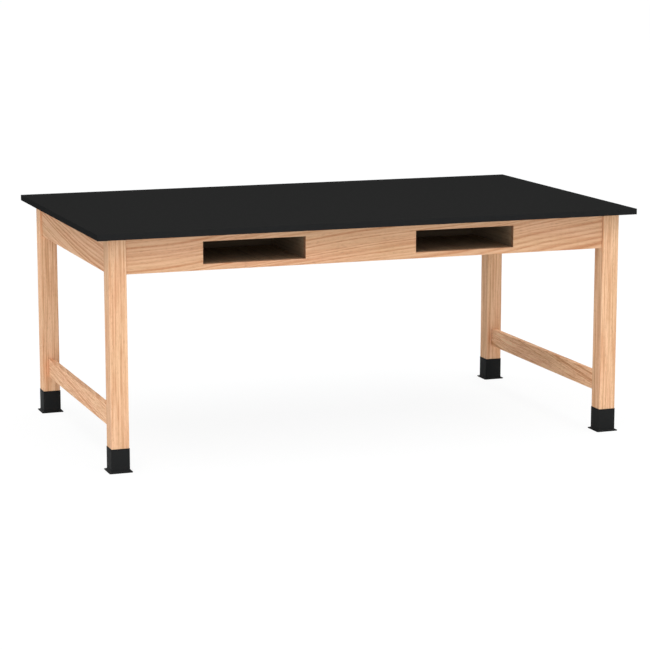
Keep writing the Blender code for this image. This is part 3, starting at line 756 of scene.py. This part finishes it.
@dataclass
class Boots:
    """Moulded leg boots: a square sleeve with a flared foot and a web that the leg stands on."""

    inner: float = 0.028875
    wall: float = 0.0012
    corner: float = 0.0025
    rim: float = 0.0004
    flare: float = 0.0078
    flare_height: float = 0.0075
    lip: float = 0.0028
    lip_ease: float = 0.0004
    foot_corner: float = 0.005
    web_top: float = 0.012
    web_thickness: float = 0.0035
    hole: float = 0.0083
    inner_corner: float = 0.0003
    rim_turn: float = 0.3
    corner_steps: int = 9
    flare_steps: int = 12
    finish: GritFinish = BOOT_RUBBER

    def shell(self, height: float) -> Shell:
        """Skin of a boot on the origin, outside upwards and inside downwards.

        The flare's reach at angle a of its quarter turn is its full reach times 1 - sin a, at a height of
        the lip plus the sweep times 1 - cos a.

        Args:
            height: Height of the boot.

        Returns:
            The closed shell.
        """
        outer = self.inner + self.wall
        foot = outer + self.flare
        sweep = self.flare_height - self.lip
        quarter = np.linspace(0, math.pi / 2, self.flare_steps + 1)
        reach = self.flare * (1 - np.sin(quarter)) * (1 - self.lip_ease / self.flare)
        corners = self.corner + (self.foot_corner - self.corner) * reach / self.flare
        turn = self.rim_turn * self.rim
        web_bottom = self.web_top - self.web_thickness
        rows = [(foot - self.lip_ease, self.foot_corner, 0.0),
                (foot, self.foot_corner, self.lip_ease),
                (foot, self.foot_corner, self.lip - self.lip_ease),
                *zip(outer + reach, corners, self.lip + sweep * (1 - np.cos(quarter))),
                (outer, self.corner, height - 2 * self.rim),
                (outer - turn, self.corner, height - turn),
                (outer - self.rim, self.corner, height),
                (self.inner, self.inner_corner, height),
                (self.inner, self.inner_corner, self.web_top),
                (self.hole, self.hole, self.web_top),
                (self.hole, self.hole, web_bottom),
                (self.inner, self.corner, web_bottom),
                (self.inner, self.corner, 0.0)]
        rings = [np.insert(rounded_square(half, corner, self.corner_steps), 2, z, axis=1)
                 for half, corner, z in rows]
        return skin(np.array(rings), joined=True)

    def build(self) -> None:
        """Make the four boots in place of their CAD nodes."""
        for name in CORNERS:
            piece = standing(f"boot_{name}", f"leg_boot_{name}", self.shell, 30)
            fit(piece, "table", "boot_rubber", self.finish.material("boot_black"), f"boot_{name}")


@dataclass
class Glides:
    """Levelling glides: threaded stem with its wrench hexagon, nylon pad and brass insert."""

    radius: float = 0.0047625
    pitch: float = 0.0015875
    depth: float = 0.00075
    tip: float = 0.0008
    flange: float = 0.007
    flange_height: float = 0.002
    hexagon: float = 0.0127
    hexagon_bottom: float = 0.0047
    hexagon_height: float = 0.004
    cone: float = 0.0006
    pad: float = 0.019
    pad_edge: float = 0.0012
    pad_draft: float = 0.0004
    pad_sides: int = 72
    clearance: float = 0.0004
    boss: float = 0.0094
    socket_floor: float = 0.0018
    socket_ceiling: float = 0.0046
    grooves: int = 12
    groove_depth: float = 0.0005
    insert: float = 0.0071625
    insert_wall: float = 0.002
    insert_pitch: float = 0.0032
    insert_depth: float = 0.0009
    insert_ease: float = 0.0005
    ease: float = 0.0003
    sides: int = 36

    def stem(self, length: float) -> Shell:
        """Stem from its foot: flange, neck, hexagon whose corners are cut by a cone, and the thread.

        Args:
            length: Length of the stem.

        Returns:
            The closed shell.
        """
        bottom, top = self.hexagon_bottom, self.hexagon_bottom + self.hexagon_height
        collar = profile_rings([(self.flange * 0.94, 0.0), (self.flange, self.ease),
                                (self.flange, self.flange_height - 0.0002),
                                (self.flange * 0.97, self.flange_height),
                                (self.radius, self.flange_height), (self.radius, bottom)], self.sides)
        hexagon = hexagon_rings(self.hexagon, [(0.97, bottom), (1.16, bottom + self.cone),
                                               (1.16, top - self.cone), (0.97, top)], self.sides)
        thread = thread_rings(self.radius, self.depth, self.pitch, top + 0.0001, length - self.tip,
                              self.sides)
        tip = profile_rings([(self.radius - self.depth, length)], self.sides)
        return skin(np.concatenate([collar, hexagon, thread, tip]))

    def pad_shell(self, height: float) -> Shell:
        """Pad with a round edge, a hollow slope up to its boss, and its socket.

        The slope rises with the power 1.5 of the part of the way in. Shallow grooves lower it by their
        depth times the sine of half a turn over that way, and leave low ribs between them.

        Args:
            height: Height of the pad's box.

        Returns:
            The closed shell.
        """
        top, edge, half = height - self.clearance, self.pad_edge, height / 2
        rim = [(self.pad - edge + edge * math.cos(a), edge + edge * math.sin(a))
               for a in np.linspace(-math.pi / 2, 0, 5)]
        wall = [(self.pad, half * 0.8), (self.pad - self.pad_draft, half)]
        part = np.linspace(0, 1, 9)[1:]
        run = self.pad - 2 * self.pad_draft - self.boss
        slope = [(self.boss + run * (1 - t), half + (top - half) * t ** 1.5) for t in part]
        neck, socket = self.radius + self.clearance, self.flange + self.clearance
        inside = [(neck + self.ease, top), (neck, top - self.ease), (neck, self.socket_ceiling),
                  (socket, self.socket_ceiling), (socket, self.socket_floor)]
        rings = profile_rings(rim + wall + slope + inside, self.pad_sides)
        grooves = np.clip(np.cos(self.grooves * angles(self.pad_sides)) * 3 - 1.5, 0, 1)
        first = len(rim) + len(wall)
        drop = np.sin(math.pi * part)[:, None] * grooves[None, :] * self.groove_depth
        rings[first:first + len(part), :, 2] -= drop
        return skin(rings)

    def insert_shell(self, length: float) -> Shell:
        """Insert with a knife thread outside and a plain bore.

        Args:
            length: Length of the insert.

        Returns:
            The closed shell.
        """
        inner, end = self.insert - self.insert_wall, self.insert - self.insert_ease
        foot = profile_rings([(end, 0.0)], self.sides)
        thread = thread_rings(self.insert, self.insert_depth, self.insert_pitch, self.insert_ease,
                              length - self.insert_ease, self.sides)
        rest = profile_rings([(end, length), (inner + self.ease, length), (inner, length - 0.0004),
                              (inner, 0.0004), (inner + self.ease, 0.0)], self.sides)
        return skin(np.concatenate([foot, thread, rest]), joined=True)

    def build(self) -> None:
        """Make stem, pad and insert at each corner in place of their CAD nodes."""
        kinds = (("glide_stem", "stem", self.stem, "zinc_steel", ZINC.material("zinc_plate")),
                 ("glide_pad", "pad", self.pad_shell, "pad_nylon", PAD_NYLON.material("pad_nylon_dark")),
                 ("glide_insert", "", self.insert_shell, "brass", BRASS.material("brass_turned")))
        for name in CORNERS:
            for node, body, shape, slot, material in kinds:
                piece = standing(f"{node}_{name}", f"levelling_{node}_{name}", shape, 40)
                fit(piece, f"{body}_{name}" if body else "table", slot, material, f"{node}_{name}")


@dataclass
class CornerBrackets:
    """Bent steel plates, each with a hanger bolt and a flange nut."""

    bolt: float = 0.004
    bolt_pitch: float = 0.00125
    bolt_depth: float = 0.0006
    chamfer: float = 0.0008
    wood_pitch: float = 0.0028
    wood_depth: float = 0.0011
    point: float = 0.0012
    plain: float = 0.004
    point_inward: float = 0.0246084
    bolt_length: float = 0.0555
    in_leg: float = 0.034
    seat_inward: float = 0.0534583
    nut_flats: float = 0.013
    nut_flange: float = 0.009
    nut_height: float = 0.008
    nut_play: float = 0.0003
    plate_edge: float = 0.0006
    sides: int = 36

    def bolt_shell(self) -> Shell:
        """Hanger bolt from its point: coarse wood thread, plain waist, fine thread and chamfer.

        Returns:
            The closed shell.
        """
        point = profile_rings([(self.point, 0.0)], self.sides)
        wood = thread_rings(self.bolt, self.wood_depth, self.wood_pitch, self.plain,
                            self.in_leg - self.plain, self.sides)
        fine = thread_rings(self.bolt, self.bolt_depth, self.bolt_pitch, self.in_leg,
                            self.bolt_length - self.chamfer, self.sides)
        tip = profile_rings([(self.bolt - self.chamfer, self.bolt_length)], self.sides)
        return skin(np.concatenate([point, wood, fine, tip]))

    def nut_shell(self) -> Shell:
        """Nut from its seat: a coned flange, a hexagon whose top corners are cut by a cone, and a bore.

        Returns:
            The closed shell.
        """
        flange, height, bore = self.nut_flange, self.nut_height, self.bolt + self.nut_play
        flat = hexagon_radius(self.nut_flats, angles(self.sides))
        foot = np.maximum(flat * 1.02, self.nut_flats / 2 * 1.1)[None, :]
        rings = [profile_rings([(flange * 0.985, 0.0), (flange, 0.0002), (flange * 0.99, 0.001)], self.sides),
                 turned_rings(foot, np.full_like(foot, 0.0016)),
                 hexagon_rings(self.nut_flats, [(1.155, 0.002), (1.155, height - 0.0014),
                                                (1.04, height - 0.0005), (0.95, height)], self.sides),
                 profile_rings([(bore + 0.0006, height), (bore, height - 0.0006), (bore, 0.0005),
                                (bore + 0.0005, 0.0)], self.sides)]
        return skin(np.concatenate(rings), joined=True)

    def build(self) -> None:
        """Make bracket, bolt and nut at each corner in place of their CAD nodes."""
        zinc = ZINC.material("zinc_plate")
        turned = ((self.bolt_shell(), "hanger_bolt", "threaded_bolt", self.point_inward),
                  (self.nut_shell(), "bracket_nut", "flange_nut", self.seat_inward))
        for name, (sx, sy) in CORNERS.items():
            x, y = leg_corner(name)
            height = middle(f"corner_bracket_{name}")[2]
            eased_plate(f"corner_bracket_{name}", f"bent_bracket_{name}", self.plate_edge)
            for shell, node, label, inward in turned:
                place = laid_along((-sx, -sy, 0), (x - sx * inward, y - sy * inward, height))
                piece = shell.placed(place[None]).object(f"{label}_{name}", 40)
                fit(piece, "table", "zinc_steel", zinc, f"{node}_{name}")


@dataclass
class TopClips:
    """Angle clips between the aprons and the worktop."""

    names: tuple[str, ...] = (*CORNERS, "left_front", "left_rear", "right_front", "right_rear")
    plate_edge: float = 0.0005

    def build(self) -> None:
        """Make each clip with eased edges in place of its CAD node."""
        for name in self.names:
            eased_plate(f"top_clip_{name}", f"angle_clip_{name}", self.plate_edge)


@dataclass
class WoodScrews:
    """Pan head screws with a cross recess, in the brackets, the clips and the cleats."""

    head: float = 0.0042
    head_height: float = 0.0022
    recess: float = 0.0014
    arm_half: float = 0.00055
    arm_side: float = 0.00025
    arm_reach: float = 0.0024
    arm_end: float = 0.0006
    shank: float = 0.0021
    grip: float = 0.0122
    bracket_plate: float = 0.0025
    bracket_from_end: float = 0.0112
    bracket_spacing: float = 0.044
    clip_plate: float = 0.002
    clip_from_corner: float = 0.014
    cleat_depth: float = 0.0187
    cleat_inset: float = 0.04
    sides: int = 40

    def shell(self, plate: float) -> Shell:
        """Screw whose head bears at the origin and whose shank runs along +Z.

        The head's top at radius r is a dome: its height times the square root of 1 - (r / head)^4. The
        cross recess is cut into it where the lesser of |x| and |y| is under half an arm's width.

        Args:
            plate: Thickness that the screw passes before the wood.

        Returns:
            The closed shell.
        """
        angle = angles(self.sides)[None, :]
        radius = np.linspace(0.05, 1, 15)[:, None] * self.head * np.ones_like(angle)
        dome = self.head_height * (1 - (radius / self.head) ** 4) ** 0.5
        aside = np.minimum(np.abs(radius * np.cos(angle)), np.abs(radius * np.sin(angle)))
        arm = np.clip((self.arm_half - aside) / self.arm_side, 0, 1)
        arm *= np.clip((self.arm_reach - radius) / self.arm_end, 0, 1)
        top = turned_rings(radius, self.recess * arm - dome)
        length = plate + self.grip
        under = profile_rings([(self.head * 0.99, 0.0), (self.shank, 0.0), (self.shank, length * 0.75),
                               (self.shank * 0.75, length * 0.88), (self.shank * 0.12, length)], self.sides)
        return skin(np.concatenate([top, under]))

    def bracket_places(self, name: str) -> list[np.ndarray]:
        """Places of the four screws of one corner bracket.

        Args:
            name: The corner of the table.

        Returns:
            A matrix for each screw.
        """
        (sx, sy), (x, y) = CORNERS[name], leg_corner(name)
        low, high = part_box(f"corner_bracket_{name}")
        seat, end = sorted((abs(x - low.x), abs(x - high.x)))
        wing, face = end - self.bracket_from_end, seat + self.bracket_plate
        places = []
        for up in (-1, 1):
            z = (low.z + high.z) / 2 + up * self.bracket_spacing / 2
            places.append(laid_along((0, sy, 0), (x - sx * wing, y - sy * face, z)))
            places.append(laid_along((sx, 0, 0), (x - sx * face, y - sy * wing, z)))
        return places

    def clip_places(self, name: str) -> list[np.ndarray]:
        """Places of the two screws of one angle clip: into the apron, and up into the worktop.

        Args:
            name: The clip, named after its apron and its place there.

        Returns:
            A matrix for each screw.
        """
        dx, dy = INWARD[name.split("_")[0]]
        low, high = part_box(f"top_clip_{name}")
        ends = {-1: high, 0: (low + high) / 2, 1: low}
        x, y = ends[dx].x, ends[dy].y
        plate, reach = self.clip_plate, self.clip_from_corner
        return [laid_along((-dx, -dy, 0), (x + dx * plate, y + dy * plate, high.z - reach)),
                laid_along((0, 0, 1), (x + dx * reach, y + dy * reach, high.z - plate))]

    def cleat_places(self, side: str) -> list[np.ndarray]:
        """Places of the four screws that go up through one compartment's two cleats."""
        boxes = [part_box(f"{side}_compartment_{end}_cleat") for end in SIDES]
        return [laid_along((0, 0, 1), ((low.x + high.x) / 2, y, low.z)) for low, high in boxes
                for y in (low.y + self.cleat_inset, high.y - self.cleat_inset)]

    def build(self) -> None:
        """Make the screws of the brackets, the clips and the cleats."""
        sets = [(f"bracket_screws_{name}", self.bracket_plate, self.bracket_places(name)) for name in CORNERS]
        sets += [(f"clip_screws_{name}", self.clip_plate, self.clip_places(name))
                 for name in TopClips().names]
        sets += [(f"cleat_screws_{side}", self.cleat_depth, self.cleat_places(side)) for side in SIDES]
        for name, plate, places in sets:
            piece = self.shell(plate).placed(np.array(places)).object(name, 40)
            fit(piece, "table", "zinc_steel", ZINC.material("zinc_plate"))


# Camera, light and floor


@dataclass(frozen=True)
class Softbox:
    """Soft area lamp that faces a point."""

    name: str
    position: Point
    width: float
    height: float
    power: float
    color: tuple[float, float, float]
    aim: Point = (0, 0, 0.45)

    def build(self) -> None:
        """Hang the lamp, turned so that its face looks at its aim."""
        data = bpy.data.lights.new(self.name, "AREA")
        data.shape = "RECTANGLE"
        data.size, data.size_y = self.width, self.height
        data.energy = self.power
        data.color = self.color
        lamp = bpy.data.objects.new(self.name, data)
        lamp.location = self.position
        lamp.rotation_euler = (Vector(self.aim) - Vector(self.position)).to_track_quat("-Z", "Y").to_euler()
        bpy.context.scene.collection.objects.link(lamp)


@dataclass
class Studio:
    """Camera at the photograph's place, soft white light all round and a pale floor."""

    position: Point = (-2.5666, -7.06386, 1.70268)
    yaw: float = -0.35014
    pitch: float = -0.18049
    focal_pixels: float = 2236.534
    frame_pixels: float = 650
    sensor: float = 36.0
    sky: float = 0.52
    sky_tint: Color = (0.86, 0.94, 1.0, 1.0)
    view_reach: float = 200.0
    floor_half: float = 60.0
    floor_grain: Point = (0.02, 0.02, 0.02)
    floor_tints: tuple[Color, Color] = ((0.84, 0.865, 0.88, 1), (0.87, 0.89, 0.9, 1))
    floor_rough: float = 0.9
    glow_distances: tuple[float, float] = (2.5, 7.0)
    glow_strengths: tuple[float, float] = (1.02, 1.08)
    seen_white: float = 0.9
    lamps: tuple[Softbox, ...] = (
        Softbox("overhead", (0, -0.5, 5.0), 7.0, 7.0, 409, (1.0, 0.98, 0.94)),
        Softbox("low_front", (-1.2, -6.2, 0.6), 4.4, 1.1, 43, (0.94, 0.98, 1.0)),
        Softbox("front_left", (-4.6, -4.6, 3.2), 2.6, 2.6, 25, (1.0, 0.98, 0.94)),
    )

    def camera(self) -> None:
        """Camera whose lens is the fitted focal length over the frame's width, times the sensor's."""
        data = bpy.data.cameras.new("photograph_camera")
        data.sensor_width = self.sensor
        data.lens = self.focal_pixels / self.frame_pixels * self.sensor
        data.clip_end = self.view_reach
        camera = bpy.data.objects.new("photograph_camera", data)
        camera.location = self.position
        camera.rotation_euler = (math.pi / 2 + self.pitch, 0, self.yaw)
        bpy.context.scene.collection.objects.link(camera)
        bpy.context.scene.camera = camera

    def world(self) -> None:
        """White world: strength one to the camera, gloss and glass, and the sky's strength as light."""
        world = bpy.data.worlds.new("white_studio")
        bpy.context.scene.world = world
        world.use_nodes = True
        world.node_tree.nodes.clear()
        graph = Graph(world.node_tree)
        rays = graph.add("ShaderNodeLightPath").outputs
        seen = graph.math("MAXIMUM", graph.math("MAXIMUM", rays["Is Camera Ray"], rays["Is Glossy Ray"]),
                          rays["Is Transmission Ray"])
        strength = graph.math("MULTIPLY_ADD", seen, 1 - self.sky, self.sky)
        color = graph.blend(seen, self.sky_tint, (1, 1, 1, 1))
        shader = graph.add("ShaderNodeBackground", {"Color": color, "Strength": strength})
        graph.add("ShaderNodeOutputWorld", {"Surface": shader.outputs[0]})

    def floor(self) -> None:
        """Pale floor that the camera sees nearly white, with a soft shadow, and clear from below."""
        half = self.floor_half
        corners = np.array([(-half, -half, 0), (half, -half, 0), (half, half, 0), (-half, half, 0)])
        floor = Shell(corners, np.arange(4)[None, :], np.zeros((0, 3), int)).object("studio_floor")
        material, graph = new_material("studio_floor_white")
        place = graph.add("ShaderNodeTexCoord").outputs["Object"]
        away = graph.add("ShaderNodeVectorMath", {0: place}, operation="LENGTH").outputs["Value"]
        pale = graph.blend(graph.noise(place, self.floor_grain), *self.floor_tints)
        matt = {"Base Color": pale, "Roughness": self.floor_rough, "Specular IOR Level": 0.0}
        diffuse = graph.add("ShaderNodeBsdfPrincipled", matt).outputs[0]
        strength = graph.between(away, *self.glow_distances, *self.glow_strengths)
        glow = graph.add("ShaderNodeEmission", {"Color": (1, 1, 1, 1), "Strength": strength}).outputs[0]
        camera_ray = graph.add("ShaderNodeLightPath").outputs["Is Camera Ray"]
        seen = graph.math("MULTIPLY", camera_ray, self.seen_white)
        mixed = graph.add("ShaderNodeMixShader", {0: seen, 1: diffuse, 2: glow}).outputs[0]
        clear = graph.add("ShaderNodeBsdfTransparent").outputs[0]
        under = graph.add("ShaderNodeNewGeometry").outputs["Backfacing"]
        sided = graph.add("ShaderNodeMixShader", {0: under, 1: mixed, 2: clear}).outputs[0]
        graph.add("ShaderNodeOutputMaterial", {"Surface": sided})
        floor.data.materials.append(material)

    def build(self) -> None:
        """Set the view, the camera, the light and the floor."""
        bpy.context.scene.view_settings.view_transform = "Standard"
        self.camera()
        self.world()
        for lamp in self.lamps:
            lamp.build()
        self.floor()


def main() -> None:
    """Make the shared node groups, then build the studio and each sub-assembly in order."""
    logging.basicConfig(level=logging.INFO, format="%(name)s: %(message)s")
    wood_group()
    grit_group()
    for assembly in (Studio(), Worktop(), OakFrame(), BookCompartments(), Boots(), Glides(), CornerBrackets(),
                     TopClips(), WoodScrews()):
        assembly.build()
        LOG.info("%s done", type(assembly).__name__)


if __name__ == "__main__":
    main()
